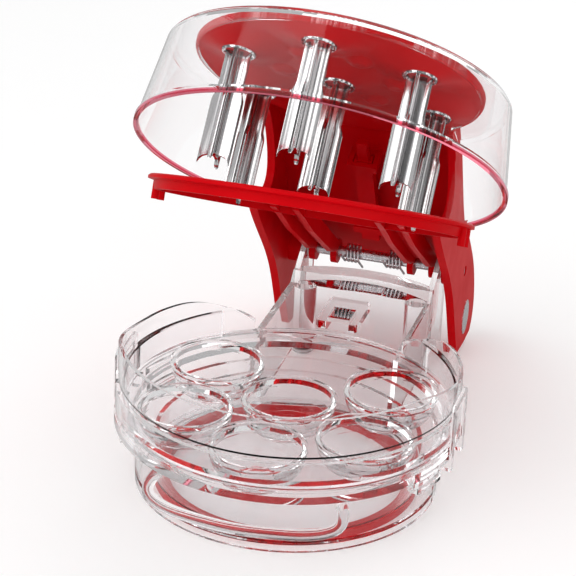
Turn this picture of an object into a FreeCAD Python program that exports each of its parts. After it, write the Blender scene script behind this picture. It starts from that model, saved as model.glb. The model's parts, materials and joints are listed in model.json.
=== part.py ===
import FreeCAD, Part
import math
import os
from FreeCAD import Vector

# Cherry pitter with lever: a clear round base with a hinge tower behind it, a lift-out cherry
# tray, a pit container that twists under the base, and a red lever head that carries six star
# punches, a clear splash shield and a hinged stripper plate.
# Millimetres. +Z is up, the drum axis is X = Y = 0 at the table, -Y is the front and +Y the hinge.

# Drum, flange and collar of the base
flange_radius = 60.0
flange_bottom = 22.9
flange_top = 26.9
collar_top = 37.3
collar_wall = 1.7
collar_rim_step = 0.3
rear_gap_angle = 41.0

# Pit container under the flange
container_radius = flange_radius - 7.0
container_draft = 0.6
container_wall = 1.6
container_bottom = 0.4
container_floor = 1.7
container_gap = 0.5
container_head_gap = 3.3
inner_cup_radius = container_radius - 6.4
inner_cup_top = 17.4
foot_ring_width = 5.0
foot_ring_height = 2.5
bail_angle = -1.0
bail_half_span = 37.0
bail_reach = 9.4
bail_thickness = 4.0
bail_level = 12.0
bail_rise = 5.0
lug_angles = (72.0, 110.0)
lug_half_angle = 7.0
lug_reach = 2.4
lug_height = 1.6

# Cherry tray
cup_spacing = flange_radius - 23.55
cup_count = 6
cup_radius = 15.0
cup_depth = 10.3
cup_wall = 1.4
cup_hole_radius = 6.4
cup_lip_width = 1.6
cup_lip_height = 1.2
deck_top = 30.0
deck_thickness = 1.8
tray_wall = 1.2
tray_rim_radius = flange_radius - 1.2
tray_rim_top = 52.9
tray_side_top = 45.4
tray_gap = 0.4
tray_seat_gap = 0.3
tray_rear_half_angle = 29.0
bead_radius = 0.8

# Guides on the two sides of the base
guide_half_width = 9.5
guide_leg_width = 3.2
guide_thickness = 1.0
guide_corner = 3.0
guide_flat = flange_radius - 1.0
guide_bottom = 18.5
guide_top = 42.6
guide_foot = 3.0

# Hinge tower behind the drum
tower_half_width = 27.0
tower_rear = flange_radius + 41.0
tower_bulge = 6.5
tower_top = 29.5
tower_wall = 2.0
tower_bottom = 1.0
ridge_height = 3.5
ridge_slope = 3.6
ridge_width = 7.0
ear_radius = 5.8
ear_front = flange_radius + 34.0
ear_rear = flange_radius + 59.0
rear_foot_radius = 3.4
rear_foot_height = 1.8
window_half_width = 4.2
window_front = flange_radius + 3.3
window_length = 10.2
frame_border = 3.5
frame_rear_border = 7.6
frame_height = 3.0

# Hinge and lever
hinge_y = flange_radius + 54.0
hinge_z = 36.0
axle_radius = 2.0
axle_gap = 0.08
bush_wall = 1.4
open_angle = 41.0
stripper_angle = 25.5
lever_half_width = tower_half_width + 8.5
lever_wall = 3.0
lever_skin = 2.6
arm_boss_radius = 6.2
arm_boss_gap = 0.5

# Head: underside of the red plate, dome, cap, clamp plate
plate_bottom = 64.4
plate_thickness = 2.0
plate_margin = 1.8
plate_gap = 0.3
dome_inset = 0.4
dome_edge = 0.6
dome_rise = 8.6
dome_wall = 1.8
cap_radius = 30.0
cap_thickness = 1.2
cap_ledge = 3.0
clamp_margin = 5.2
clamp_thickness = 1.0
screw_radius = 1.5
screw_head_radius = 2.8
screw_head_height = 1.6
screw_length = 3.6
screw_circle = 20.0
screw_count = 5

# Star punches
punch_top = 61.4
punch_tip = 20.7
punch_radius = 5.55
shank_radius = 4.45
fin_thickness = 1.7
flare_top = 47.0
flare_bottom = 43.0
tip_rise = 3.4
tip_inset = 1.1
punch_fit = 0.1
boss_base_radius = 12.5
boss_tip_radius = 6.4
punch_collar_radius = 5.6
punch_collar_height = 1.4

# Splash shield
shield_wall = 1.2
shield_rim_radius = flange_radius + 4.5
shield_top_radius = flange_radius + 0.2
shield_bottom = 31.8
shield_ledge = 1.2
shield_rim_bead = 0.9
shield_neck_gap = 0.7

# Stripper plate
stripper_radius = tray_rim_radius - 2.9
stripper_level = 47.9
stripper_skirt = 5.0
stripper_plate = 2.0
stripper_wall = 2.0
stripper_flange = 2.6
stripper_hole_radius = 8.0
stripper_peg_radius = 1.3
stripper_peg_length = 3.0
rib_thickness = 2.4
rib_inner = tower_half_width - 13.2
rib_outer = tower_half_width - 4.8
knuckle_radius = 4.6
rib_start = flange_radius - 20.0

# Torsion springs
spring_wire = 0.9
spring_coils = 4
spring_radius = 3.1
spring_pitch = 1.4
spring_middle = rib_inner - 5.6
spring_leg = 6.0

# Lock bar under the lever's skin
bar_half_width = 3.4
bar_thickness = 3.6
bar_start_y = flange_radius + 2.0
bar_start_z = 57.0
bar_length = 44.0
bar_travel = 4.0
bar_stem_half_width = 1.9
bar_stem_length = 9.0
guide_cap_border = 1.9
guide_cap_thickness = 3.0
bar_fit = 0.3
guide_reach = 6.0
guide_end = 38.0

# Oval end plates on the arms
badge_long = 6.7
badge_short = 5.2
badge_y = flange_radius + 73.0
badge_z = 23.5
badge_turn = -62.0
badge_thickness = 1.1
badge_proud = 0.25

UP = Vector(0, 0, 1)
ORIGIN = Vector(0, 0, 0)
HINGE = Vector(0, hinge_y, hinge_z)
HEX_STEP = 60.0


def disc(radius, bottom, top, x=0.0, y=0.0):
    return Part.makeCylinder(radius, top - bottom, Vector(x, y, bottom), UP)


def ring(outer, inner, bottom, top):
    return disc(outer, bottom, top).cut(disc(inner, bottom - 1.0, top + 1.0))


def block(x0, x1, y0, y1, z0, z1):
    return Part.makeBox(x1 - x0, y1 - y0, z1 - z0, Vector(x0, y0, z0))


def turned(points):
    """Solid turned round the Z axis from an outline of radius and height pairs."""
    corners = [Vector(r, 0, z) for r, z in points]
    wire = Part.makePolygon(corners + [corners[0]])
    return Part.Face(wire).revolve(ORIGIN, UP, 360)


def side_prism(wire, x0, x1):
    """Solid pushed along X from a closed wire that lies in the plane X = 0."""
    face = Part.Face(wire)
    face.translate(Vector(x0, 0, 0))
    return face.extrude(Vector(x1 - x0, 0, 0))


def side_polygon(points, x0, x1):
    corners = [Vector(0, y, z) for y, z in points]
    return side_prism(Part.makePolygon(corners + [corners[0]]), x0, x1)


def side_curve(points):
    curve = Part.BSplineCurve()
    curve.interpolate([Vector(0, y, z) for y, z in points])
    return curve.toShape()


def side_line(a, b):
    return Part.LineSegment(Vector(0, a[0], a[1]), Vector(0, b[0], b[1])).toShape()


def wedge(middle, half, radius, bottom, top):
    """Upright wedge about the drum axis; angles in degrees from the front, positive to the right."""
    sweep = 2.0 * half
    sector = Part.makeCylinder(radius, top - bottom, Vector(0, 0, bottom), UP, sweep)
    sector.rotate(ORIGIN, UP, middle - half - 90.0)
    return sector


def mirrored(shape):
    return shape.mirror(ORIGIN, Vector(1, 0, 0))


def fused(shapes):
    body = shapes[0]
    for shape in shapes[1:]:
        body = body.fuse(shape)
    return body.removeSplitter()


def cup_places():
    """Centres of the cups and punches: one in the middle and five of a hexagon round it."""
    places = [(0.0, 0.0)]
    for step in range(cup_count - 1):
        angle = math.radians(HEX_STEP * (step - 2))
        places.append((cup_spacing * math.sin(angle), -cup_spacing * math.cos(angle)))
    return places


PUNCH_NAMES = ["centre", "rear_left", "front_left", "front", "front_right", "rear_right"]


def tower_outline(inset):
    """Plan of the hinge tower: straight sides and a rear wall that bulges backwards."""
    half = tower_half_width - inset
    left = Vector(-half, 0, 0)
    right = Vector(half, 0, 0)
    rear_left = Vector(-half, tower_rear - inset, 0)
    rear_right = Vector(half, tower_rear - inset, 0)
    crown = Vector(0, tower_rear + tower_bulge - inset, 0)
    edges = [
        Part.LineSegment(left, right).toShape(),
        Part.LineSegment(right, rear_right).toShape(),
        Part.Arc(rear_right, crown, rear_left).toShape(),
        Part.LineSegment(rear_left, left).toShape(),
    ]
    return Part.Wire(edges)


def tower_prism(inset, bottom, top):
    face = Part.Face(tower_outline(inset))
    face.translate(Vector(0, 0, bottom))
    return face.extrude(Vector(0, 0, top - bottom))


def ear():
    """Side wall of the tower that rises to carry the axle; on the right side."""
    start = (ear_front, tower_top)
    lower = (ear_rear, tower_bottom)
    reach = math.hypot(start[0] - hinge_y, start[1] - hinge_z)
    bearing = math.atan2(start[1] - hinge_z, start[0] - hinge_y)
    front_angle = bearing - math.acos(ear_radius / reach)
    rear_angle = -math.acos(ear_radius / math.hypot(lower[0] - hinge_y, lower[1] - hinge_z))
    rear_angle -= math.atan2(hinge_z - lower[1], lower[0] - hinge_y)
    rear_angle += 2.0 * math.acos(ear_radius / math.hypot(lower[0] - hinge_y, lower[1] - hinge_z))
    middle = math.pi / 2.0

    def on_arc(angle):
        return (hinge_y + ear_radius * math.cos(angle), hinge_z + ear_radius * math.sin(angle))

    first = on_arc(front_angle)
    last = on_arc(rear_angle)
    crown = on_arc(middle)
    edges = [
        side_line((ear_front, tower_bottom), start),
        side_line(start, first),
        Part.Arc(Vector(0, *first), Vector(0, *crown), Vector(0, *last)).toShape(),
        side_line(last, lower),
        side_line(lower, (ear_front, tower_bottom)),
    ]
    wall = side_prism(Part.Wire(edges), tower_half_width - tower_wall, tower_half_width)
    hole = axle_bar(bush_radius(), tower_half_width - tower_wall - 1.0, tower_half_width + 1.0)
    return wall.cut(hole)


def bush_radius():
    return axle_radius + axle_gap + bush_wall


def axle_bar(radius, x0, x1):
    return Part.makeCylinder(radius, x1 - x0, Vector(x0, hinge_y, hinge_z), Vector(1, 0, 0))


def collar_radius():
    return flange_radius - collar_rim_step


def tray_radius():
    return collar_radius() - collar_wall - tray_gap


def base_body():
    opening = container_radius + container_gap
    shape = ring(flange_radius, opening, flange_bottom, flange_top)
    collar = ring(collar_radius(), collar_radius() - collar_wall, flange_top, collar_top)
    shape = shape.fuse(collar.cut(wedge(180.0, rear_gap_angle, flange_radius + 5.0, flange_top, collar_top)))
    tower = tower_prism(0.0, tower_bottom, tower_top)
    hollow = tower_prism(tower_wall, tower_bottom - 1.0, tower_top - tower_wall)
    shell = tower.cut(hollow).cut(disc(opening, 0.0, flange_bottom))
    shell = shell.cut(disc(opening, 0.0, tower_top + 1.0))
    shape = fused([shape, shell, tower_ridge(), window_frame()])
    right_ear = ear()
    shape = shape.fuse(right_ear).fuse(mirrored(right_ear))
    inside = tower_prism(tower_wall, 0.0, tower_top - tower_wall)
    for x, y in rear_foot_places():
        shape = shape.fuse(disc(rear_foot_radius + 1.0, tower_bottom, tower_top - 1.0, x, y).common(
            tower_prism(0.5, tower_bottom, tower_top)))
    shape = shape.cut(disc(tray_radius() + tray_gap, flange_top, collar_top + 1.0).common(
        block(-tower_half_width - 1.0, tower_half_width + 1.0, 0.0, flange_radius, flange_top, collar_top)))
    rear = window_front + window_length
    shape = shape.cut(block(-window_half_width, window_half_width, window_front, rear, tower_top - 5.0, tower_top + 1.0))
    for hook in bayonet_hooks():
        shape = shape.fuse(hook)
    for sign in (-1.0, 1.0):
        flat = block(0.0, 10.0, -guide_half_width - 0.1, guide_half_width + 0.1, flange_bottom - 1.0, collar_top + 1.0)
        flat.translate(Vector(guide_flat, 0, 0))
        shape = shape.cut(flat if sign > 0 else mirrored(flat))
    for x, y in rear_foot_places():
        shape = shape.cut(disc(rear_foot_radius, 0.0, rear_foot_height, x, y))
    return shape.removeSplitter()


def tower_ridge():
    """Raised lip along the tower's rear edge, with a sloping front."""
    front = tower_rear - ridge_width
    top = tower_top + ridge_height
    far = tower_rear + tower_bulge + 5.0
    slope = side_polygon([(front, tower_top), (front + ridge_slope, top), (far, top), (far, tower_top)],
                         -tower_half_width, tower_half_width)
    return tower_prism(0.0, tower_top, top).common(slope)


def bayonet_hooks():
    """Three hooks under the flange that the container's lugs turn into."""
    hooks = []
    inner = container_radius + container_gap
    outer = inner + lug_reach + container_gap + 1.6
    toe_top = container_top() - lug_height - 2.0 * container_gap
    for middle in lug_places():
        post = ring(outer, outer - 1.6, toe_top - 1.2, flange_bottom)
        toe = ring(outer, inner, toe_top - 1.2, toe_top)
        hook = post.fuse(toe).common(wedge(middle, lug_half_angle, outer + 5.0, 0.0, flange_bottom))
        hooks.append(hook.removeSplitter())
    return hooks


def lug_places():
    """Angles of the four lugs and hooks, the same on both sides."""
    return [sign * angle for angle in lug_angles for sign in (-1.0, 1.0)]


def rear_foot_places():
    inset = tower_half_width - rear_foot_radius - tower_wall
    return [(-inset, tower_rear - rear_foot_radius - tower_wall), (inset, tower_rear - rear_foot_radius - tower_wall)]


def rear_feet():
    feet = [disc(rear_foot_radius, 0.0, rear_foot_height, x, y) for x, y in rear_foot_places()]
    return Part.makeCompound(feet)


def window_frame():
    rear = window_front + window_length
    outer = block(-window_half_width - frame_border, window_half_width + frame_border,
                  window_front - frame_border, rear + frame_rear_border, tower_top, tower_top + frame_height)
    upright = [edge for edge in outer.Edges if abs(edge.Length - frame_height) < 0.01]
    outer = outer.makeFillet(1.5, upright)
    hole = block(-window_half_width, window_half_width, window_front, rear, tower_top - 1.0, tower_top + frame_height + 1.0)
    return outer.cut(hole)


def side_guide():
    """U-shaped guide on the right: two legs joined at the top, with feet under the flange."""
    x0 = guide_flat + 0.1
    x1 = x0 + guide_thickness
    plate = block(x0, x1, -guide_half_width, guide_half_width, guide_bottom, guide_top)
    corners = [edge for edge in plate.Edges
               if abs(edge.Length - guide_thickness) < 0.01 and edge.CenterOfMass.z > guide_top - 0.1]
    plate = plate.makeFillet(guide_corner, corners)
    inner = guide_half_width - guide_leg_width
    hole = block(x0 - 1.0, x1 + 1.0, -inner, inner, guide_bottom - 1.0, guide_top - guide_leg_width)
    shape = plate.cut(hole)
    for side in (-1.0, 1.0):
        y0 = min(side * inner, side * guide_half_width)
        foot = block(x0 - guide_foot, x1, y0, y0 + guide_leg_width, guide_bottom, flange_bottom)
        shape = shape.fuse(foot)
    return shape.removeSplitter()


def container_top():
    return flange_bottom - container_head_gap


def pit_container():
    base = container_radius - container_draft
    top = container_top()
    floor_low = foot_ring_height + 0.1
    floor_top = floor_low + container_floor
    shape = turned([
        (base - container_wall, container_bottom), (base, container_bottom), (container_radius, top),
        (container_radius - container_wall, top), (base - container_wall + 0.1, floor_top), (0.0, floor_top),
        (0.0, floor_low), (base - container_wall, floor_low),
    ])
    cup = turned([
        (inner_cup_radius - container_draft - container_wall, floor_low + 0.5),
        (inner_cup_radius - container_draft, floor_low + 0.5), (inner_cup_radius, inner_cup_top),
        (inner_cup_radius - container_wall, inner_cup_top),
    ])
    shape = shape.fuse(cup).fuse(container_bail())
    lug_top = top - container_gap
    for middle in lug_places():
        lug = ring(container_radius + container_gap + lug_reach, container_radius - 1.0, lug_top - lug_height, lug_top)
        shape = shape.fuse(lug.common(wedge(middle, lug_half_angle, flange_radius, 0.0, flange_top)))
    return shape.removeSplitter()


def container_bail():
    """Bow handle: a round bar that swings back and up into the wall at both ends."""
    reach = container_radius + bail_reach - bail_thickness / 2.0
    path = []
    for share, inward, rise in ((-1.0, 1.0, 1.0), (-0.985, 0.5, 0.75), (-0.92, 0.12, 0.28), (-0.8, 0.0, 0.06),
                                (-0.4, 0.0, 0.0), (0.0, 0.0, 0.0), (0.4, 0.0, 0.0), (0.8, 0.0, 0.06),
                                (0.92, 0.12, 0.28), (0.985, 0.5, 0.75), (1.0, 1.0, 1.0)):
        angle = math.radians(bail_angle + share * bail_half_span)
        radius = reach - inward * (reach - container_radius + container_wall / 2.0)
        path.append(Vector(radius * math.sin(angle), -radius * math.cos(angle), bail_level + rise * bail_rise))
    curve = Part.BSplineCurve()
    curve.interpolate(path)
    spine = Part.Wire([curve.toShape()])
    start = curve.value(curve.FirstParameter)
    tangent = curve.tangent(curve.FirstParameter)[0]
    profile = Part.Wire([Part.Circle(start, tangent, bail_thickness / 2.0).toShape()])
    return spine.makePipeShell([profile], True, False)


def foot_ring_outer():
    return inner_cup_radius - container_draft - 0.2


def foot_ring():
    return ring(foot_ring_outer(), foot_ring_outer() - foot_ring_width, 0.0, foot_ring_height)


def cup_solid(extra):
    """Outer form of one cup, grown by extra on every side; extra below zero gives the hollow."""
    steps = 7
    points = [(0.0, deck_top - cup_depth - extra)]
    for index in range(steps + 1):
        angle = math.pi / 2.0 * index / steps
        radius = cup_hole_radius + (cup_radius - cup_hole_radius) * math.sin(angle) + extra
        height = deck_top - cup_depth * math.cos(angle) - extra * math.cos(angle)
        points.append((radius, height))
    points.append((cup_radius + extra, deck_top + cup_lip_height + 1.0))
    points.append((0.0, deck_top + cup_lip_height + 1.0))
    return turned(points)


def wall_height_cutter():
    """What lies above the top edge of the splash wall: high in front, low beside the tower."""
    knee = flange_radius * 0.5
    fall = flange_radius - 34.0
    depth = flange_radius - 8.8 - fall
    drop = tray_side_top - 0.6 - deck_top + 2.0
    points = [(-knee, tray_rim_top), (-knee * 0.25, tray_rim_top * 0.45 + tray_side_top * 0.55),
              (knee * 0.4, tray_side_top), (fall * 0.8, tray_side_top - 0.3)]
    for angle in (90.0, 70.0, 52.0, 36.0, 22.0, 10.0, 0.0):
        turn = math.radians(angle)
        points.append((fall + depth * math.cos(turn), deck_top - 2.0 + drop * math.sin(turn)))
    curve = side_curve(points)
    start = curve.Vertexes[0].Point
    end = curve.Vertexes[-1].Point
    high = tray_rim_top + 10.0
    edges = [
        side_line((-knee * 3.0, start.z), (start.y, start.z)), curve,
        side_line((end.y, end.z), (knee * 3.0, end.z)), side_line((knee * 3.0, end.z), (knee * 3.0, high)),
        side_line((knee * 3.0, high), (-knee * 3.0, high)),
        side_line((-knee * 3.0, high), (-knee * 3.0, start.z)),
    ]
    return side_prism(Part.Wire(edges), -flange_radius - 5.0, flange_radius + 5.0)


def cherry_tray():
    low = flange_top + tray_seat_gap
    outer = tray_radius()
    step = collar_top + tray_seat_gap
    wall = turned([
        (outer, low), (outer, step), (tray_rim_radius, step + 0.8), (tray_rim_radius, tray_rim_top),
        (tray_rim_radius - tray_wall, tray_rim_top), (tray_rim_radius - tray_wall, step + 1.6),
        (outer - tray_wall, step + 0.4), (outer - tray_wall, low),
    ])
    wall = wall.cut(wedge(180.0, tray_rear_half_angle, flange_radius + 5.0, low + deck_thickness, tray_rim_top + 5.0))
    wall = wall.cut(wall_height_cutter())
    deck = disc(outer - tray_wall / 2.0, deck_top - deck_thickness, deck_top)
    shape = wall.fuse(deck)
    for x, y in cup_places():
        cup = cup_solid(cup_wall)
        cup = cup.cut(disc(cup_radius * 2.0, deck_top, tray_rim_top))
        cup.translate(Vector(x, y, 0))
        shape = shape.fuse(cup)
        lip = ring(cup_radius + cup_lip_width, cup_radius, deck_top - 0.5, deck_top + cup_lip_height)
        lip.translate(Vector(x, y, 0))
        shape = shape.fuse(lip)
    for x, y in cup_places():
        hollow = cup_solid(0.0)
        hollow.translate(Vector(x, y, 0))
        shape = shape.cut(hollow)
        shape = shape.cut(disc(cup_hole_radius, 0.0, deck_top, x, y))
    return shape.removeSplitter()


def behind(points):
    """Side-view points given as distance behind the flange's edge and height."""
    return [(flange_radius + distance, height) for distance, height in points]


def lever_top_points():
    return behind([
        (-22.0, 72.6), (-8.0, 69.6), (8.0, 62.9), (25.0, 55.0), (44.0, 48.4), (66.0, 44.2),
        (78.2, 38.6), (86.6, 30.5), (88.0, 22.5),
    ])


def lever_outline():
    """Side view of the neck and arms, lever closed: top skin, tail, arm edge, front of the wall."""
    top = side_curve(lever_top_points())
    tail = behind([(88.0, 22.5), (81.0, 15.6), (72.0, 8.6)])
    lower = behind([(72.0, 8.6), (62.0, 12.2), (49.0, 18.0), (36.0, 22.6), (15.0, 26.0), (-7.0, 29.2)])
    front = behind([(-7.0, 33.0), (1.0, 37.0), (5.5, 45.0), (-2.0, 54.5), (-22.0, 62.5)])
    edges = [top]
    edges += [side_line(tail[i], tail[i + 1]) for i in range(len(tail) - 1)]
    edges += [side_curve(lower), side_line(lower[-1], front[0]), side_curve(front)]
    edges += [side_line(front[-1], lever_top_points()[0])]
    return Part.Wire(edges)


def lever_hollow():
    """Space between the arms and under the skin."""
    points = lever_top_points()[:6]
    inner = [(y - lever_skin * 0.35, z - lever_skin) for y, z in points]
    inner[0] = (points[0][0] - 8.0, inner[0][1] + 3.0)
    curve = side_curve(inner)
    end = (inner[-1][0] + lever_skin * 0.8, inner[-1][1] - 1.0)
    far = hinge_y * 1.5
    high = end[1] + 2.0 * lever_skin
    edges = [
        curve, side_line(inner[-1], end), side_line(end, (far, high)),
        side_line((far, high), (far, -hinge_z)), side_line((far, -hinge_z), (inner[0][0], -hinge_z)),
        side_line((inner[0][0], -hinge_z), inner[0]),
    ]
    half = lever_half_width - lever_wall
    return side_prism(Part.Wire(edges), -half, half)


def plate_radius():
    return cup_spacing + boss_base_radius + plate_margin


def dome_radius():
    return plate_radius() - dome_inset


def dome_centre():
    """Height of the centre of the dome's sphere, and its radius."""
    radius = (dome_radius() ** 2 + dome_rise ** 2) / (2.0 * dome_rise)
    crown = plate_top() + dome_edge + dome_rise
    return crown - radius, radius


def ball_cap(radius, shrink, bottom):
    """Part of the dome's sphere, made smaller by shrink, inside radius and above bottom."""
    centre, ball = dome_centre()
    sphere = Part.makeSphere(ball - shrink, Vector(0, 0, centre))
    return sphere.common(disc(radius, bottom, centre + ball + 1.0))


def dome():
    outer = ball_cap(dome_radius(), 0.0, plate_top())
    inner = ball_cap(dome_radius() - dome_wall, dome_wall, plate_top() - 1.0)
    shell = outer.cut(inner)
    centre, ball = dome_centre()
    seat = ball_cap(cap_radius, 0.0, plate_top()).cut(ball_cap(cap_radius + 1.0, cap_thickness, plate_top() - 1.0))
    return shell.cut(seat).cut(disc(cap_radius - cap_ledge, plate_top(), centre + ball + 1.0))


def lever_body():
    neck = side_prism(lever_outline(), -lever_half_width, lever_half_width).cut(lever_hollow())
    keep_out = disc(plate_radius() + plate_gap, 0.0, plate_top())
    keep_out = keep_out.fuse(ball_cap(dome_radius() - dome_wall, dome_wall, plate_top() - 1.0))
    neck = neck.cut(keep_out)
    shape = dome().fuse(neck)
    inner = tower_half_width + arm_boss_gap
    boss = axle_bar(arm_boss_radius, inner, lever_half_width - 0.5)
    shape = shape.fuse(boss).fuse(mirrored(boss))
    shape = shape.cut(axle_bar(axle_radius, -lever_half_width - 1.0, lever_half_width + 1.0))
    for pocket in (badge_blank(badge_thickness), mirrored(badge_blank(badge_thickness))):
        shape = shape.cut(pocket)
    return shape.removeSplitter()


def badge_blank(depth):
    """Oval disc in the right arm's outer face."""
    oval = Part.Ellipse(Vector(0, 0, 0), badge_long, badge_short).toShape()
    face = Part.Face(Part.Wire([oval]))
    face.rotate(ORIGIN, Vector(0, 1, 0), 90)
    face.rotate(ORIGIN, Vector(1, 0, 0), badge_turn + 90.0)
    face.translate(Vector(lever_half_width - depth, badge_y, badge_z))
    return face.extrude(Vector(depth, 0, 0))


def side_badge():
    badge = badge_blank(badge_thickness)
    proud = badge_blank(badge_proud)
    proud.translate(Vector(badge_proud, 0, 0))
    return badge.fuse(proud).removeSplitter()


def top_cap():
    centre, ball = dome_centre()
    cap = ball_cap(cap_radius - plate_gap, 0.0, plate_top())
    return cap.cut(ball_cap(cap_radius + 1.0, cap_thickness, plate_top() - 1.0))


def plate_top():
    return plate_bottom + plate_thickness


def head_plate():
    shape = disc(plate_radius(), plate_bottom, plate_top())
    for x, y in cup_places():
        boss = Part.makeCone(boss_tip_radius, boss_base_radius, plate_bottom - punch_top,
                             Vector(x, y, punch_top), UP)
        shape = shape.fuse(boss)
    for x, y in cup_places():
        shape = shape.cut(disc(shank_radius + punch_fit, punch_top - 1.0, plate_top() + 1.0, x, y))
        shape = shape.cut(disc(punch_collar_radius + punch_fit, collar_seat(), plate_top() + 1.0, x, y))
    for x, y in screw_places():
        shape = shape.fuse(disc(screw_radius + 1.6, plate_top() - screw_length, plate_bottom, x, y))
        shape = shape.cut(disc(screw_radius, plate_top() - screw_length + 1.0, plate_top() + 1.0, x, y))
    return shape.removeSplitter()


def collar_seat():
    return plate_top() - punch_collar_height


def screw_places():
    places = []
    for index in range(screw_count):
        angle = math.radians(HEX_STEP * (index - 2))
        turn = angle + math.radians(HEX_STEP / 2.0)
        places.append((screw_circle * math.sin(turn), -screw_circle * math.cos(turn)))
    return places


def clamp_plate():
    shape = disc(cup_spacing + clamp_margin, plate_top(), plate_top() + clamp_thickness)
    for x, y in screw_places():
        shape = shape.cut(disc(screw_radius, plate_top() - 1.0, plate_top() + clamp_thickness + 1.0, x, y))
    return shape


def clamp_screws():
    screws = []
    top = plate_top() + clamp_thickness
    for x, y in screw_places():
        shank = disc(screw_radius, top - screw_length, top, x, y)
        head = disc(screw_head_radius, top, top + screw_head_height, x, y)
        screws.append(shank.fuse(head).removeSplitter())
    return Part.makeCompound(screws)


def fin(width_axis):
    """One flat fin of a punch, with its flared lower part and a scalloped tip."""
    half = fin_thickness / 2.0
    top = plate_top()
    outline = [
        (0.0, punch_tip + tip_rise), (punch_radius * 0.35, punch_tip + tip_rise * 0.82),
        (punch_radius * 0.62, punch_tip + tip_rise * 0.3), (punch_radius - tip_inset, punch_tip),
        (punch_radius - tip_inset * 0.35, punch_tip + 0.35), (punch_radius, punch_tip + 1.5),
        (punch_radius, flare_bottom), (shank_radius, flare_top), (shank_radius, top),
    ]
    full = outline + [(-r, z) for r, z in reversed(outline[1:])]
    corners = [Vector(r, -half, z) for r, z in full]
    blade = Part.Face(Part.makePolygon(corners + [corners[0]])).extrude(Vector(0, fin_thickness, 0))
    if width_axis == "y":
        blade.rotate(ORIGIN, UP, 90)
    return blade


def punch(x, y):
    star = fin("x").fuse(fin("y"))
    star = star.fuse(disc(fin_thickness, punch_tip + tip_rise + 2.0, plate_top()))
    star = star.fuse(disc(punch_collar_radius, collar_seat(), plate_top()))
    star = star.removeSplitter()
    star.translate(Vector(x, y, 0))
    return star


def shield_radius(z):
    share = (z - shield_bottom) / (plate_bottom - shield_bottom)
    return shield_rim_radius + (shield_top_radius - shield_rim_radius) * share


def splash_shield():
    corner = 1.6
    top = plate_bottom
    shape = turned([
        (shield_rim_radius + shield_rim_bead * 0.5, shield_bottom),
        (shield_rim_radius + shield_rim_bead * 0.5, shield_bottom + 1.6),
        (shield_radius(shield_bottom + 2.6), shield_bottom + 2.6),
        (shield_radius(top - corner), top - corner),
        (shield_radius(top) - corner * 0.4, top - corner * 0.35),
        (shield_radius(top) - corner, top), (plate_radius() - shield_ledge, top),
        (plate_radius() - shield_ledge, top - shield_wall),
        (shield_radius(top) - corner - 0.6, top - shield_wall),
        (shield_radius(top - corner) - shield_wall, top - corner - 1.2),
        (shield_rim_radius - shield_wall, shield_bottom),
    ])
    half = lever_half_width + shield_neck_gap
    return shape.cut(block(-half, half, cup_spacing, shield_rim_radius + 5.0, shield_bottom - 1.0, top + 1.0))


def stripper_top():
    return stripper_level + stripper_skirt / 2.0


def stripper_bottom():
    return stripper_level - stripper_skirt / 2.0


def rib_outline():
    """Side view of one hinge rib of the stripper, from under the plate to the axle."""
    top = stripper_top()
    low = stripper_bottom()
    crown = hinge_z + knuckle_radius
    return [
        (rib_start, top - stripper_plate / 2.0), (stripper_radius - 2.0, top - stripper_plate / 2.0),
        (stripper_radius + 14.0, top - 3.0), (hinge_y - knuckle_radius, crown - 0.6), (hinge_y, crown - 0.2),
        (hinge_y - knuckle_radius + 0.4, hinge_z), (hinge_y - knuckle_radius - 6.0, hinge_z - 0.8),
        (stripper_radius + 12.0, low - 4.5), (stripper_radius - 4.0, low - 0.6), (rib_start, low + 1.6),
    ]


def stripper():
    top = stripper_top()
    low = stripper_bottom()
    skirt = stripper_radius - stripper_flange
    shape = turned([
        (0.0, top), (stripper_radius - 0.7, top), (stripper_radius, top - 0.6), (stripper_radius, top - 1.5),
        (skirt + 0.3, top - stripper_plate), (skirt, low), (skirt - stripper_wall, low),
        (skirt - stripper_wall, top - stripper_plate), (0.0, top - stripper_plate),
    ])
    for x, y in cup_places():
        collar = disc(stripper_hole_radius + 1.4, low + 2.0, top - stripper_plate, x, y)
        shape = shape.fuse(collar)
    for x, y in cup_places():
        shape = shape.cut(disc(stripper_hole_radius, low - 1.0, top + 1.0, x, y))
    hinge_parts = []
    for x0 in (rib_inner, rib_outer):
        rib = side_polygon(rib_outline(), x0, x0 + rib_thickness)
        rib = rib.fuse(axle_bar(knuckle_radius, x0, x0 + rib_thickness))
        hinge_parts.append(rib)
    web_top = rib_outline()[1:4]
    web = web_top + [(y, z - stripper_plate) for y, z in reversed(web_top)]
    hinge_parts.append(side_polygon(web, rib_inner, rib_outer + rib_thickness))
    holes = disc(stripper_hole_radius, low - 8.0, top + 1.0, *cup_places()[5])
    for part in hinge_parts:
        right = part.cut(holes)
        shape = shape.fuse(right).fuse(mirrored(right))
    shape = shape.cut(axle_bar(axle_radius + axle_gap, -tower_half_width - 1.0, tower_half_width + 1.0))
    for sign in (-1.0, 1.0):
        for y in (-4.0, 3.0):
            x = sign * (skirt + 0.4)
            shape = shape.fuse(disc(stripper_peg_radius, low - stripper_peg_length, top - 0.5, x, y))
    return shape.removeSplitter()


def hinge_axle():
    return axle_bar(axle_radius, -lever_half_width + 0.4, lever_half_width - 0.4)


def axle_bush():
    inner = axle_radius + axle_gap
    x0 = tower_half_width - tower_wall
    x1 = tower_half_width
    return axle_bar(bush_radius(), x0, x1).cut(axle_bar(inner, x0 - 1.0, x1 + 1.0))


def spring_self_gap():
    """Clear space between one turn of the coil and the next."""
    return spring_pitch - spring_wire


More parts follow.
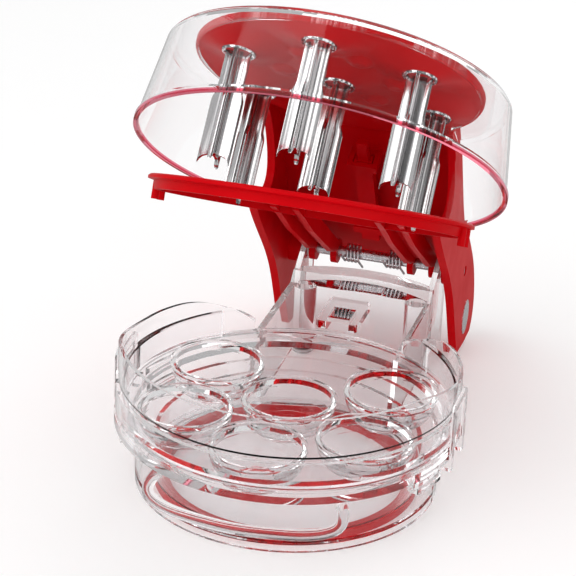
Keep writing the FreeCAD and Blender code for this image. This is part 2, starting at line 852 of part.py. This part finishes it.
def torsion_spring(side):
    """Coil round the axle with two straight legs: one up to the skin, one along the rib."""
    length = spring_pitch * spring_coils
    helix = Part.makeLongHelix(spring_pitch, length, spring_radius, 0, False)
    helix.rotate(ORIGIN, Vector(0, 1, 0), 90)
    start = helix.Vertexes[0].Point
    tangent = helix.Edges[0].tangentAt(helix.Edges[0].FirstParameter)
    profile = Part.Wire([Part.Circle(start, tangent, spring_wire / 2.0).toShape()])
    coil = Part.Wire(helix.Edges).makePipeShell([profile], True, False)
    shape = coil
    ends = [
        (helix.Vertexes[0].Point, helix.Edges[0].tangentAt(helix.Edges[0].FirstParameter), -1.0),
        (helix.Vertexes[-1].Point, helix.Edges[-1].tangentAt(helix.Edges[-1].LastParameter), 1.0),
    ]
    for point, direction, sense in ends:
        leg_direction = Vector(direction.x * sense, direction.y * sense, direction.z * sense)
        leg = Part.makeCylinder(spring_wire / 2.0, spring_leg, point, leg_direction)
        shape = shape.fuse(leg)
    shape.translate(Vector(side * spring_middle - length / 2.0, hinge_y, hinge_z))
    return shape.removeSplitter()


def bar_direction():
    """Unit vector down the lock bar, which points at the axle."""
    dy = hinge_y - bar_start_y
    dz = hinge_z - bar_start_z
    size = math.hypot(dy, dz)
    return dy / size, dz / size


def along_bar(distance, rise):
    uy, uz = bar_direction()
    return (bar_start_y + uy * distance - uz * rise, bar_start_z + uz * distance + uy * rise)


def bar_block(d0, d1, half, thickness):
    low = -thickness / 2.0
    high = thickness / 2.0
    corners = [along_bar(d0, low), along_bar(d1, low), along_bar(d1, high), along_bar(d0, high)]
    return side_polygon(corners, -half, half)


def lock_bar():
    bar = bar_block(0.0, bar_length, bar_half_width, bar_thickness)
    stem = bar_block(-bar_stem_length, 1.0, bar_stem_half_width, bar_thickness - 1.0)
    return bar.fuse(stem).removeSplitter()


def lock_guide(lever):
    """Two brackets under the skin that the lock bar slides through."""
    inner = bar_half_width + bar_fit
    outer = inner + guide_cap_border
    low = bar_thickness / 2.0 + bar_fit
    strap = low + guide_cap_border
    brackets = []
    for start in (0.0, guide_end - guide_cap_thickness):
        end = start + guide_cap_thickness
        corners = [along_bar(start, -strap), along_bar(end, -strap), along_bar(end, guide_reach), along_bar(start, guide_reach)]
        gap = [along_bar(start - 1.0, -low), along_bar(end + 1.0, -low), along_bar(end + 1.0, low), along_bar(start - 1.0, low)]
        bracket = side_polygon(corners, -outer, outer).cut(side_polygon(gap, -inner, inner))
        brackets.append(bracket.cut(lever))
    return Part.makeCompound(brackets)


NODES = {}


def closed(name, shape):
    """Store a base piece as it is."""
    NODES[name] = shape


def swung(name, shape, angle):
    """Store a lever piece that is modelled closed, opened by an angle about the hinge."""
    shape.rotate(HINGE, Vector(1, 0, 0), -angle)
    NODES[name] = shape


def build():
    closed("base_body", base_body())
    closed("rear_feet", rear_feet())
    guide = side_guide()
    closed("side_guide_right", guide)
    closed("side_guide_left", mirrored(guide))
    closed("pit_container", pit_container())
    closed("foot_ring", foot_ring())
    closed("cherry_tray", cherry_tray())
    bush = axle_bush()
    closed("axle_bush_right", bush)
    closed("axle_bush_left", mirrored(bush))
    lever = lever_body()
    swung("lock_guide", lock_guide(lever), open_angle)
    swung("lever_body", lever, open_angle)
    swung("top_cap", top_cap(), open_angle)
    swung("head_plate", head_plate(), open_angle)
    swung("clamp_plate", clamp_plate(), open_angle)
    swung("clamp_screws", clamp_screws(), open_angle)
    for name, place in zip(PUNCH_NAMES, cup_places()):
        swung("punch_" + name, punch(*place), open_angle)
    swung("splash_shield", splash_shield(), open_angle)
    badge = side_badge()
    swung("side_badge_left", mirrored(badge), open_angle)
    swung("side_badge_right", badge, open_angle)
    swung("hinge_axle", hinge_axle(), open_angle)
    swung("lock_bar", lock_bar(), open_angle)
    swung("stripper_plate", stripper(), stripper_angle)
    swung("stripper_spring_right", torsion_spring(1.0), open_angle)
    swung("stripper_spring_left", torsion_spring(-1.0), open_angle)


build()
os.makedirs("parts", exist_ok=True)
print("least gap between the spring's turns", round(spring_self_gap(), 2))
for name, shape in NODES.items():
    shape.exportStep("parts/" + name + ".step")
    print(name, "valid" if shape.isValid() else "INVALID", len(shape.Solids), round(shape.Volume, 1))
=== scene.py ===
import json
import math

import bmesh
import bpy
from mathutils import Matrix, Vector


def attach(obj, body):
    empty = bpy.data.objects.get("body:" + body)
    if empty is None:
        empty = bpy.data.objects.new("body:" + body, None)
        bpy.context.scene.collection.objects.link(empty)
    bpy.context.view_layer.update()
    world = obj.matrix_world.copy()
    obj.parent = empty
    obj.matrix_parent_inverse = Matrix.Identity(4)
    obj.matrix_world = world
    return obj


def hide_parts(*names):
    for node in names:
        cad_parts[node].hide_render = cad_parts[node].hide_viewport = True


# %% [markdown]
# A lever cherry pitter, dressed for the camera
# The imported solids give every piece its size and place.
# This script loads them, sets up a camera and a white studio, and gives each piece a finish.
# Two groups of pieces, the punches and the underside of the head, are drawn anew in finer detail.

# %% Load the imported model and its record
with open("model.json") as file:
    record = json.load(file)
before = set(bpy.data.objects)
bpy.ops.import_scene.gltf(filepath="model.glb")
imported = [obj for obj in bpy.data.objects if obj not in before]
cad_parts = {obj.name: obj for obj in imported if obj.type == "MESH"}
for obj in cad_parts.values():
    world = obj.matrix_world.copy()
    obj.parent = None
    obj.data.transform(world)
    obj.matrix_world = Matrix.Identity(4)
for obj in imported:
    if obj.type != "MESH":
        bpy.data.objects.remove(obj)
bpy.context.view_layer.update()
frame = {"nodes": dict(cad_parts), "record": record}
NODES = frame["nodes"]

# %% [markdown]
# Camera
# The photograph was taken with a long lens from the front right and a little above.
# Pairs of points that mirror each other across the middle of the tool fix where it stood.
# A camera that looks straight at a target, and is then rolled a little, gives the same view.

# %% Camera at the photograph's viewpoint
MM = 0.001
AZIMUTH = math.radians(15.28)
ELEVATION = math.radians(24.98)
ROLL = math.radians(2.60)
DISTANCE = 900.0 * MM
TARGET = Vector((-2.20, 0.0, 72.15)) * MM
FOCAL_PIXELS = 2670.0
PHOTO_PIXELS = 576.0
SENSOR = 36.0

back = Vector((math.sin(AZIMUTH) * math.cos(ELEVATION),
               -math.cos(AZIMUTH) * math.cos(ELEVATION),
               math.sin(ELEVATION)))
flat_right = (-back).cross(Vector((0, 0, 1))).normalized()
flat_up = flat_right.cross(-back).normalized()
right = flat_right * math.cos(ROLL) + flat_up * math.sin(ROLL)
up = flat_up * math.cos(ROLL) - flat_right * math.sin(ROLL)
camera_data = bpy.data.cameras.new("camera")
camera_data.lens = FOCAL_PIXELS / PHOTO_PIXELS * SENSOR
camera_data.sensor_width = SENSOR
camera_data.clip_start = 0.05
camera_data.clip_end = 20.0
camera = bpy.data.objects.new("camera", camera_data)
bpy.context.collection.objects.link(camera)
turn = Matrix((right, up, back)).transposed().to_4x4()
camera.matrix_world = Matrix.Translation(TARGET + back * DISTANCE) @ turn
bpy.context.scene.camera = camera
print("camera lens", round(camera_data.lens, 1))

# %% [markdown]
# A small language for shader maths
# Node trees are long to write by hand.
# A thin wrapper round a socket lets a finish be written like a formula.
# The same wrapper serves the materials and the world.

# %% Sockets that add and multiply
class Value:
    """One output socket; arithmetic on it makes math nodes."""

    def __init__(self, tree, socket):
        self.tree = tree
        self.socket = socket

    def math(self, operation, *values):
        inputs = {"i" + str(index): value for index, value in enumerate(values)}
        return self.tree.node("ShaderNodeMath", settings={"operation": operation}, **inputs)

    def __add__(self, other):
        return self.math("ADD", self, other)

    def __radd__(self, other):
        return self.math("ADD", other, self)

    def __sub__(self, other):
        return self.math("SUBTRACT", self, other)

    def __rsub__(self, other):
        return self.math("SUBTRACT", other, self)

    def __mul__(self, other):
        return self.math("MULTIPLY", self, other)

    def __rmul__(self, other):
        return self.math("MULTIPLY", other, self)

    def above(self, other):
        return self.math("GREATER_THAN", self, other)

    def below(self, other):
        return self.math("LESS_THAN", self, other)

    def near(self, other, within):
        return self.math("COMPARE", self, other, within)

    def larger(self, other):
        return self.math("MAXIMUM", self, other)


print("values add, subtract, multiply and compare")


# %% A node tree that is built from expressions
class Tree:
    """A node tree that is built from Python expressions."""

    def __init__(self, node_tree):
        self.nodes = node_tree.nodes
        self.links = node_tree.links

    def node(self, kind, out=0, settings=None, **inputs):
        """Adds one node; inputs are named, or i0, i1 and so on by their number."""
        made = self.nodes.new(kind)
        for key, value in (settings or {}).items():
            setattr(made, key, value)
        for key, value in inputs.items():
            by_number = key[0] == "i" and key[1:].isdigit()
            socket = made.inputs[int(key[1:])] if by_number else made.inputs[key.replace("_", " ")]
            self.feed(value, socket)
        return Value(self, made.outputs[out])

    def feed(self, value, socket):
        if isinstance(value, Value):
            self.links.new(value.socket, socket)
        else:
            socket.default_value = value

    def ray(self, name):
        """What the light path says about the ray that arrives."""
        return self.node("ShaderNodeLightPath", out=name)

    def place(self):
        return self.node("ShaderNodeTexCoord", out="Object")

    def noise(self, where, scale, detail=3.0, rough=0.5):
        return self.node("ShaderNodeTexNoise", Vector=where, Scale=scale, Detail=detail, Roughness=rough)

    def ramp(self, value, low, high, to_low=0.0, to_high=1.0, shape="LINEAR"):
        return self.node("ShaderNodeMapRange", settings={"interpolation_type": shape},
                         Value=value, i1=low, i2=high, i3=to_low, i4=to_high)

    def mix(self, factor, a, b):
        return self.node("ShaderNodeMix", out=2, settings={"data_type": "RGBA"}, i0=factor, i6=a, i7=b)

    def xyz(self, vector):
        split = self.nodes.new("ShaderNodeSeparateXYZ")
        self.feed(vector, split.inputs[0])
        return [Value(self, split.outputs[index]) for index in range(3)]

    def join(self, x, y, z):
        return self.node("ShaderNodeCombineXYZ", i0=x, i1=y, i2=z)

    def toward(self, direction):
        """How closely a world direction agrees with the given one."""
        looked = self.node("ShaderNodeTexCoord", out="Generated")
        return self.node("ShaderNodeVectorMath", out="Value", settings={"operation": "DOT_PRODUCT"},
                         i0=looked, i1=direction)


print("trees make nodes, noise, ramps and mixes")


# %% A material with one shader
class Finish(Tree):
    """A material with one Principled shader."""

    def __init__(self, name, **constants):
        self.material = bpy.data.materials.new(name)
        self.material.use_nodes = True
        super().__init__(self.material.node_tree)
        self.shader = self.nodes["Principled BSDF"]
        for key, value in constants.items():
            self.shader.inputs[key.replace("_", " ")].default_value = value

    def set(self, name, value):
        self.feed(value, self.shader.inputs[name])

    def bump(self, height, distance, strength=1.0):
        relief = self.node("ShaderNodeBump", Height=height, Distance=distance, Strength=strength)
        self.set("Normal", relief)


print("finishes start from one Principled shader")

# %% [markdown]
# Where the head stands
# The head turns about one axle, and the photograph shows it open by 41 degrees.
# Pieces of the head are drawn closed, in millimetres, and are then swung open.
# Finishes that follow the head read the same turn backwards.

# %% The axle and the open angle
HINGE_Y = 114.0
HINGE_Z = 36.0
OPEN = math.radians(41.0)
AXLE = Vector((0.0, HINGE_Y, HINGE_Z))
SWING_OPEN = (Matrix.Scale(MM, 4) @ Matrix.Translation(AXLE) @ Matrix.Rotation(-OPEN, 4, "X")
              @ Matrix.Translation(-AXLE))


def height_over_axle(y, z):
    """How far above the axle, in metres, a point of the open head lies once the head is closed."""
    return (y - HINGE_Y * MM) * math.sin(OPEN) + (z - HINGE_Z * MM) * math.cos(OPEN)


head_middle = SWING_OPEN @ Vector((0.0, 0.0, 60.0))
print("the middle of the head swings to", [round(value, 4) for value in head_middle])

# %% [markdown]
# Clear plastic
# Every clear piece is moulded in the same hard, water-clear plastic.
# It bends light like any clear plastic, which draws its edges.
# Its walls are thin, so it lets lamp light through and casts only a faint shadow.
# Light that runs round inside a wall is let out after three turns, so that no rim goes black.
# The splash shield's lower rim carries a painted red reflection of the head all the way round, so it is
# tinted.

# %% Finish: clear plastic
SHADE_LET_THROUGH = 0.92
TURNS_INSIDE = 2.5
WATER_CLEAR = (0.985, 0.98, 0.985, 1.0)
# Painted red reflection of the head, put into the colour of the shield's lower rim.
RIM_RED_REFLECTION = (0.62, 0.05, 0.09, 1.0)
RIM_HEIGHT = 33.0


def clear_plastic(name, rim=None):
    tree = Finish(name, Base_Color=WATER_CLEAR, Transmission_Weight=1.0, IOR=1.30, Roughness=0.0)
    where = tree.place()
    unseen = tree.ray("Is Shadow Ray").larger(tree.ray("Is Diffuse Ray"))
    escaped = tree.ray("Glossy Depth").above(TURNS_INSIDE)
    tree.set("Alpha", 1.0 - (SHADE_LET_THROUGH * unseen).larger(escaped))
    tree.bump(tree.noise(where, scale=45.0, detail=1.0), distance=0.0002, strength=0.12)
    # Below the rim height the base colour is mixed to red: a painted reflection of the red head, not a
    # colour of the plastic.
    if rim:
        x, y, z = tree.xyz(where)
        edge = height_over_axle(y, z).below((RIM_HEIGHT - HINGE_Z) * MM)
        tree.set("Base Color", tree.mix(edge, WATER_CLEAR, rim))
    return tree.material


CLEAR = clear_plastic("clear_plastic")
SHIELD_CLEAR_RED_REFLECTION = clear_plastic("clear_shield_red_reflection", RIM_RED_REFLECTION)
print("made", CLEAR.name, SHIELD_CLEAR_RED_REFLECTION.name)

# %% [markdown]
# Red plastic
# The head is moulded in a bright glossy red.
# A faint unevenness in the gloss keeps large faces from looking painted.
# The gloss is kept low, because a white studio would otherwise lie on it like milk.

# %% Finish: red plastics
BRIGHT_RED = (0.60, 0.0006, 0.004, 1.0)


def darker(color, share):
    return tuple(channel * share for channel in color[:3]) + (1.0,)


def red_plastic(name, gloss=0.33):
    tree = Finish(name, Base_Color=BRIGHT_RED, Roughness=gloss, IOR=1.45, Specular_IOR_Level=0.05)
    cloud = tree.noise(tree.place(), scale=70.0, detail=4.0)
    tree.set("Roughness", tree.ramp(cloud, 0.3, 0.7, gloss - 0.03, gloss + 0.06))
    tree.set("Base Color", tree.mix(tree.ramp(cloud, 0.35, 0.75), BRIGHT_RED, darker(BRIGHT_RED, 0.9)))
    grain = tree.noise(tree.place(), scale=900.0, detail=2.0)
    tree.bump(grain, distance=0.00004, strength=0.15)
    return tree.material


RED = red_plastic("red_plastic")
RED_SATIN = red_plastic("red_satin_plastic", 0.34)
print("made", RED.name, RED_SATIN.name)

# %% [markdown]
# Steels
# The punches are folded from bright strip, and rolling leaves long fine lines along them.
# A noise that is stretched along the punch gives those lines in gloss and relief, and paints them darker
# in colour; on the punches the dark lines are deep and are painted reflections of dark surroundings.
# The axle, springs, screws and oval badges are the same steel, duller and with fainter lines.

# %% Finish: steels
STREAKS_ACROSS = 1300.0
STREAKS_ALONG = 40.0
LINES_ACROSS = 700.0
LINES_ALONG = 9.0


def steel(name, rough, color, tilt=0.0, lines_and_painted_reflection=0.05):
    """Metal with lines along an axis that leans back by tilt; the last argument is how deep the lines
    are and how much darker they are painted, which on the punches is painted reflection.
    """
    tree = Finish(name, Base_Color=color, Metallic=1.0, Roughness=rough)
    x, y, z = tree.xyz(tree.place())
    along = y * math.sin(tilt) + z * math.cos(tilt)
    across = y * math.cos(tilt) - z * math.sin(tilt)
    fine = tree.join(x * STREAKS_ACROSS, across * STREAKS_ACROSS, along * STREAKS_ALONG)
    streak = tree.noise(fine, scale=1.0, detail=2.0)
    coarse = tree.join(x * LINES_ACROSS, across * LINES_ACROSS, along * LINES_ALONG)
    line = tree.noise(coarse, scale=1.0, detail=1.0)
    tree.set("Roughness", tree.ramp(streak, 0.3, 0.7, rough * 0.7, rough * 1.6))
    # Dark lines painted into the colour: on the punches a painted reflection of dark surroundings, on
    # the duller steels faint rolling lines.
    tree.set("Base Color", tree.mix(tree.ramp(line, 0.42, 0.56), darker(color, 1.0 - lines_and_painted_reflection), color))
    tree.bump(line, distance=0.0003, strength=lines_and_painted_reflection)
    return tree.material


# The punches' lines are painted deep and dark, as painted reflections of dark surroundings on
# mirror-bright steel.
PUNCH_STEEL = steel("bright_steel", 0.13, (0.86, 0.85, 0.855, 1.0), tilt=OPEN, lines_and_painted_reflection=0.74)
STEEL = steel("satin_steel", 0.28, (0.66, 0.66, 0.68, 1.0))
BADGE = steel("badge_silver", 0.25, (0.86, 0.86, 0.88, 1.0))
print("made", PUNCH_STEEL.name, STEEL.name, BADGE.name)

# %% [markdown]
# Rubber and the white bushes
# The ring under the container and the rear feet are soft rubber, and the bushes are plain plastic.
# A fine grain in gloss and relief is all that they need.

# %% Finish: rubber and bushes
def plain(name, color, rough):
    tree = Finish(name, Base_Color=color, Roughness=rough)
    grain = tree.noise(tree.place(), scale=1500.0, detail=2.0)
    tree.set("Roughness", tree.ramp(grain, 0.3, 0.7, rough - 0.05, rough + 0.08))
    tree.bump(grain, distance=0.00004, strength=0.2)
    return tree.material


RED_RUBBER = plain("red_rubber", (0.60, 0.003, 0.008, 1.0), 0.55)
GREY_RUBBER = plain("grey_rubber", (0.55, 0.55, 0.55, 1.0), 0.6)
WHITE = plain("white_bush", (0.8, 0.8, 0.8, 1.0), 0.4)
print("made", RED_RUBBER.name, GREY_RUBBER.name, WHITE.name)

# %% [markdown]
# From a drawing to a piece
# A drawing is a closed bmesh of the head in its closed place.
# One helper swings it open, turns its faces outwards, sharpens its corners and gives it to its body.

# %% Helper that swings a drawing open and finishes it
SHARP = math.radians(38.0)
SAME_PLACE = 1e-7


def piece(name, drawing, material, body):
    """Makes an object of a closed drawing, with outward normals and sharp corners."""
    bmesh.ops.transform(drawing, matrix=SWING_OPEN, verts=drawing.verts)
    bmesh.ops.remove_doubles(drawing, verts=drawing.verts, dist=SAME_PLACE)
    bmesh.ops.recalc_face_normals(drawing, faces=drawing.faces)
    for face in drawing.faces:
        face.smooth = True
    for edge in drawing.edges:
        edge.smooth = len(edge.link_faces) == 2 and edge.calc_face_angle() < SHARP
    mesh = bpy.data.meshes.new(name)
    drawing.to_mesh(mesh)
    drawing.free()
    mesh.materials.append(material)
    made = bpy.data.objects.new(name, mesh)
    bpy.context.collection.objects.link(made)
    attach(made, body)
    return made


def spin_section(drawing, section, centre, steps, closed=False):
    """Spins a chain of edges through the given vertices full circle about an upright axis."""
    following = section[1:] + (section[:1] if closed else [])
    chain = [drawing.edges.new(pair) for pair in zip(section, following)]
    bmesh.ops.spin(drawing, geom=section + chain, cent=centre, axis=(0.0, 0.0, 1.0),
                   angle=math.tau, steps=steps, use_merge=True)


print("edges are sharp over", round(math.degrees(SHARP)), "degrees")

# %% [markdown]
# Star punches
# Each punch is a strip of bright steel folded into a four-winged star.
# The wings are two sheets thick with rounded noses, narrower at the shank, and end in sharp corners.
# The flat star is extruded upwards level by level, and each level takes its own width.
# A pressed steel washer, spun round from its section, closes the boss round the shank.
# One punch stands in the middle and five on a circle round it, with a gap at the back.

# %% Where the punches stand
PUNCH_CIRCLE = 36.45
PUNCH_ANGLES = (("rear_left", -120.0), ("front_left", -60.0), ("front", 0.0),
                ("front_right", 60.0), ("rear_right", 120.0))


def on_circle(radius, degrees):
    """A place on a circle round the head's axis; 0 degrees is the front, positive to the right."""
    angle = math.radians(degrees)
    return radius * math.sin(angle), -radius * math.cos(angle)


PUNCH_PLACES = [("centre", 0.0, 0.0)]
PUNCH_PLACES += [(label, *on_circle(PUNCH_CIRCLE, degrees)) for label, degrees in PUNCH_ANGLES]
print("punch places", len(PUNCH_PLACES))

# %% Outline of a star
WING_HALF = 0.84
WING_REACH = 5.55


def wing_outline(reach):
    """One wing along +X, from the hollow on its left, round the two lips of the nose, to its right."""
    half = WING_HALF
    left = [(1.45, half), (reach * 0.45, half * 0.72), (reach - 1.5, half * 0.80),
            (reach - 0.55, half), (reach - 0.12, half * 0.86), (reach, half * 0.56),
            (reach - 0.2, half * 0.26), (reach - 0.75, half * 0.12)]
    return left + [(x, -y) for x, y in reversed(left)] + [(0.98, -0.98)]


def star_outline(reach):
    outline = []
    for quarter in range(4):
        angle = -math.pi / 2.0 * quarter
        for x, y in wing_outline(reach):
            outline.append((x * math.cos(angle) - y * math.sin(angle),
                            x * math.sin(angle) + y * math.cos(angle)))
    return outline


print("star outline", len(star_outline(WING_REACH)), "points")

# %% Six star punches
SHANK_REACH = 4.45
PUNCH_TIP = 20.75
PUNCH_TOP = 61.4
TIP_HOLLOW = 3.1
HUB_SHARE = 0.32
PUNCH_LEVELS = ((PUNCH_TIP + 5.0, WING_REACH), (43.0, WING_REACH), (44.2, 5.4), (45.4, 4.95),
                (46.4, 4.58), (47.6, SHANK_REACH), (PUNCH_TOP, SHANK_REACH))
WASHER_SECTION = ((4.6, 61.1), (5.2, 60.75), (5.9, 60.8), (6.1, 61.3), (6.1, 62.0), (4.6, 62.0))
WASHER_STEPS = 40


def tip_height(x, y):
    """The lower end: sharp corners at the noses and a hollow arc between nose and centre."""
    reach = (math.hypot(x, y) / WING_REACH - HUB_SHARE) / (1.0 - HUB_SHARE)
    reach = min(max(reach, 0.0), 1.0)
    return PUNCH_TIP + TIP_HOLLOW * math.sqrt(1.0 - reach * reach)


def flat_star(drawing, order, x0, y0):
    """The star as faces: strips across each wing and one hub; its lower side follows the tip."""
    corners = []
    for index, (x, y) in enumerate(star_outline(WING_REACH)):
        corner = drawing.verts.new((x0 + x, y0 + y, tip_height(x, y)))
        corner[order] = index
        corners.append(corner)
    count = len(corners) // 4
    faces = []
    hub = []
    for start in range(0, len(corners), count):
        wing = corners[start:start + count - 1]
        for near in range(len(wing) // 2 - 1):
            far = -1 - near
            faces.append(drawing.faces.new((wing[near], wing[near + 1], wing[far - 1], wing[far])))
        hub += [wing[0], wing[-1], corners[start + count - 1]]
    faces.append(drawing.faces.new(hub))
    return faces


def star_punch(label, x0, y0):
    drawing = bmesh.new()
    order = drawing.verts.layers.int.new("order")
    tip = flat_star(drawing, order, x0, y0)
    faces = tip
    for height, reach in PUNCH_LEVELS:
        outline = star_outline(reach)
        raised = bmesh.ops.extrude_face_region(drawing, geom=faces)["geom"]
        if faces is not tip:
            bmesh.ops.delete(drawing, geom=faces, context="FACES")
        faces = [part for part in raised if isinstance(part, bmesh.types.BMFace)]
        for part in raised:
            if isinstance(part, bmesh.types.BMVert):
                x, y = outline[part[order]]
                part.co = (x0 + x, y0 + y, height)
    drawing.verts.layers.int.remove(order)
    section = [drawing.verts.new((x0 + radius, y0, height)) for radius, height in WASHER_SECTION]
    spin_section(drawing, section, (x0, y0, 0.0), WASHER_STEPS, closed=True)
    made = piece("star_punch_" + label, drawing, PUNCH_STEEL, "lever")
    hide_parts("punch_" + label)
    return made


punches = [star_punch(label, x0, y0) for label, x0, y0 in PUNCH_PLACES]
print("star punches", len(punches), "faces each", len(punches[0].data.polygons))

# %% [markdown]
# Underside of the head
# The red plate swells softly into a boss round each punch, and the swells meet in faint creases.
# Smaller swells cover the ends of the clamp screws.
# The plate is spun from its section, and each point then sinks by the swell that it lies on.

# %% Head plate with soft bosses
PLATE_RADIUS = 50.75
PLATE_FLAT = PLATE_RADIUS - 0.7
PLATE_LOW = 64.4
PLATE_HIGH = 66.35
PLATE_RINGS = 62
PLATE_STEPS = 180
BOSS_DROP = 3.0
BOSS_INNER = 6.6
BOSS_SPREAD = 13.6
BOSS_CURVE = 1.7
SCREW_DROP = 1.7
SCREW_SPREAD = 5.6
SCREW_SLOPE = 3.4
SCREW_CIRCLE = 20.0
SCREW_PLACES = [on_circle(SCREW_CIRCLE, degrees) for degrees in (-90.0, -30.0, 30.0, 90.0, 150.0)]


def smooth_step(value):
    value = min(max(value, 0.0), 1.0)
    return value * value * (3.0 - 2.0 * value)


def plate_height(x, y):
    """Height of the underside; the deepest swell at a point wins, which leaves the creases."""
    drop = 0.0
    for _, x0, y0 in PUNCH_PLACES:
        share = 1.0 - (math.hypot(x - x0, y - y0) - BOSS_INNER) / BOSS_SPREAD
        drop = max(drop, BOSS_DROP * min(max(share, 0.0), 1.0) ** BOSS_CURVE)
    for x0, y0 in SCREW_PLACES:
        inside = SCREW_SPREAD - math.hypot(x - x0, y - y0)
        drop = max(drop, SCREW_DROP * smooth_step(inside / SCREW_SLOPE))
    return PLATE_LOW - drop


def head_underside():
    drawing = bmesh.new()
    section = [(PLATE_FLAT * ring / PLATE_RINGS, PLATE_LOW) for ring in range(PLATE_RINGS + 1)]
    section += [(PLATE_RADIUS - 0.2, PLATE_LOW + 0.15), (PLATE_RADIUS, PLATE_LOW + 0.6),
                (PLATE_RADIUS, PLATE_HIGH), (0.0, PLATE_HIGH)]
    corners = [drawing.verts.new((radius, 0.0, height)) for radius, height in section]
    spin_section(drawing, corners, (0.0, 0.0, 0.0), PLATE_STEPS)
    for vertex in drawing.verts:
        if vertex.co.z < PLATE_LOW + 0.01:
            vertex.co.z = plate_height(vertex.co.x, vertex.co.y)
    made = piece("head_underside", drawing, RED, "lever")
    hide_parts("head_plate")
    return made


underside = head_underside()
print("head underside faces", len(underside.data.polygons))

# %% [markdown]
# Dressing the imported solids
# Every imported solid names the slot of its material.
# The finish for that slot goes on as it is, so that the solids themselves are never changed.
# Only the splash shield has a finish of its own, for the painted red reflection on its rim.

# %% Give every solid the finish of its slot
FINISH = {
    "clear_plastic": CLEAR, "red_plastic": RED, "red_satin_plastic": RED_SATIN,
    "bright_steel": PUNCH_STEEL, "satin_steel": STEEL, "badge_silver": BADGE,
    "red_rubber": RED_RUBBER, "grey_rubber": GREY_RUBBER, "white_bush": WHITE,
}
OWN_FINISH = {"splash_shield": SHIELD_CLEAR_RED_REFLECTION}

for entry in frame["record"]["subparts"]:
    finish = OWN_FINISH.get(entry["node"], FINISH[entry["material_slot"]])
    for slot in NODES[entry["node"]].material_slots:
        slot.material = finish

# %% [markdown]
# Floor
# The tool stands on a plain white floor that runs on without a horizon.
# The floor is a little brighter to the eye than to the lamps, and more so far away, which keeps the
# ground white while the shadow stays.
# A soft mirror image sees it darker, so that it doesn't lie on the red like milk.

# %% A white floor
FLOOR_SIZE = 6.0
FLOOR_WHITE = (0.95, 0.95, 0.95, 1.0)
FLOOR_MIRRORED = (0.40, 0.40, 0.40, 1.0)
GLOW_NEAR = (0.07, 0.07, 0.07, 1.0)
GLOW_FAR = (0.38, 0.38, 0.38, 1.0)
NO_GLOW = (0.0, 0.0, 0.0, 1.0)
GLOW_STARTS = 0.3
GLOW_FULL = 4.0


def floor_material():
    tree = Finish("floor", Base_Color=FLOOR_WHITE, Roughness=0.6, Emission_Strength=1.0)
    glossy = tree.ray("Is Glossy Ray")
    through = tree.ray("Is Transmission Ray")
    direct = tree.ray("Is Camera Ray").larger(through)
    x, y, z = tree.xyz(tree.place())
    glow = tree.mix(tree.ramp(x * x + y * y, GLOW_STARTS, GLOW_FULL), GLOW_NEAR, GLOW_FAR)
    tree.set("Base Color", tree.mix(glossy * (1.0 - through), FLOOR_WHITE, FLOOR_MIRRORED))
    tree.set("Emission Color", tree.mix(direct, NO_GLOW, glow))
    return tree.material


floor_mesh = bpy.data.meshes.new("floor")
sheet = bmesh.new()
bmesh.ops.create_grid(sheet, x_segments=1, y_segments=1, size=FLOOR_SIZE)
sheet.to_mesh(floor_mesh)
sheet.free()
floor_mesh.materials.append(floor_material())
floor = bpy.data.objects.new("floor", floor_mesh)
bpy.context.collection.objects.link(floor)
print("floor half width", FLOOR_SIZE)

# %% [markdown]
# World
# The eye, and light that comes through a clear wall, see plain white.
# Light that a clear wall threw back once sees the dimmer front of the studio, as in a real one,
# and so does a sharp mirror image; light that ran round inside a wall comes out bright again.

# %% A white world with a dimmer front
STUDIO_FRONT = (0.3, -0.94, 0.12)
FRONT_STARTS = -0.2
FRONT_FULL = 0.75
LEVEL_BEHIND = 0.45
LEVEL_IN_FRONT = 0.55
LEVEL_SCATTERED = 0.62
LEVEL_TRAPPED = 0.7
THROWN_BACK_DIM = 0.55
SHARP_DIM = 0.40

world = bpy.data.worlds.new("world")
bpy.context.scene.world = world
world.use_nodes = True
sky = world.node_tree.nodes["Background"]
sky.inputs["Color"].default_value = (1.0, 1.0, 1.0, 1.0)
tree = Tree(world.node_tree)
turns = tree.ray("Glossy Depth")
through = tree.ray("Is Transmission Ray") * (1.0 - THROWN_BACK_DIM * turns.near(1.0, 0.5))
seen = tree.ray("Is Camera Ray").larger(through)
scattered = tree.ray("Is Diffuse Ray")
studio = tree.ramp(tree.toward(STUDIO_FRONT), FRONT_STARTS, FRONT_FULL,
                   LEVEL_BEHIND, LEVEL_IN_FRONT, "SMOOTHSTEP")
mirrored = (1.0 - scattered) * studio * (1.0 - SHARP_DIM * tree.ray("Is Singular Ray"))
mirrored = mirrored.larger(LEVEL_TRAPPED * turns.above(TURNS_INSIDE))
tree.feed(seen.larger(LEVEL_SCATTERED * scattered + mirrored), sky.inputs["Strength"])
print("world nodes", len(world.node_tree.nodes))

# %% [markdown]
# Lamps
# A large lamp up on the left gives the main light, and two weaker ones fill the shade.
# They are as wide as soft boxes, so that their mirror images stay faint and shadows stay soft.

# %% Three soft lamps
LAMP_AIM = Vector((0.0, 0.03, 0.08))
LAMPS = (("key", (-0.55, -0.55, 0.95), 1.5, 7.6),
         ("fill", (0.75, -0.85, 0.35), 1.3, 2.8),
         ("rim", (0.25, 0.85, 0.75), 1.2, 2.8))


def lamp(name, place, size, power):
    data = bpy.data.lights.new(name, "AREA")
    data.shape = "DISK"
    data.size = size
    data.energy = power
    made = bpy.data.objects.new(name, data)
    bpy.context.collection.objects.link(made)
    made.location = place
    made.rotation_euler = (LAMP_AIM - Vector(place)).to_track_quat("-Z", "Y").to_euler()
    made.visible_camera = False


for name, place, size, power in LAMPS:
    lamp(name, place, size, power)
print("lamps", len(LAMPS))

# %% [markdown]
# Closing

# %% View transform and the closing call
bpy.context.scene.view_settings.view_transform = "Standard"
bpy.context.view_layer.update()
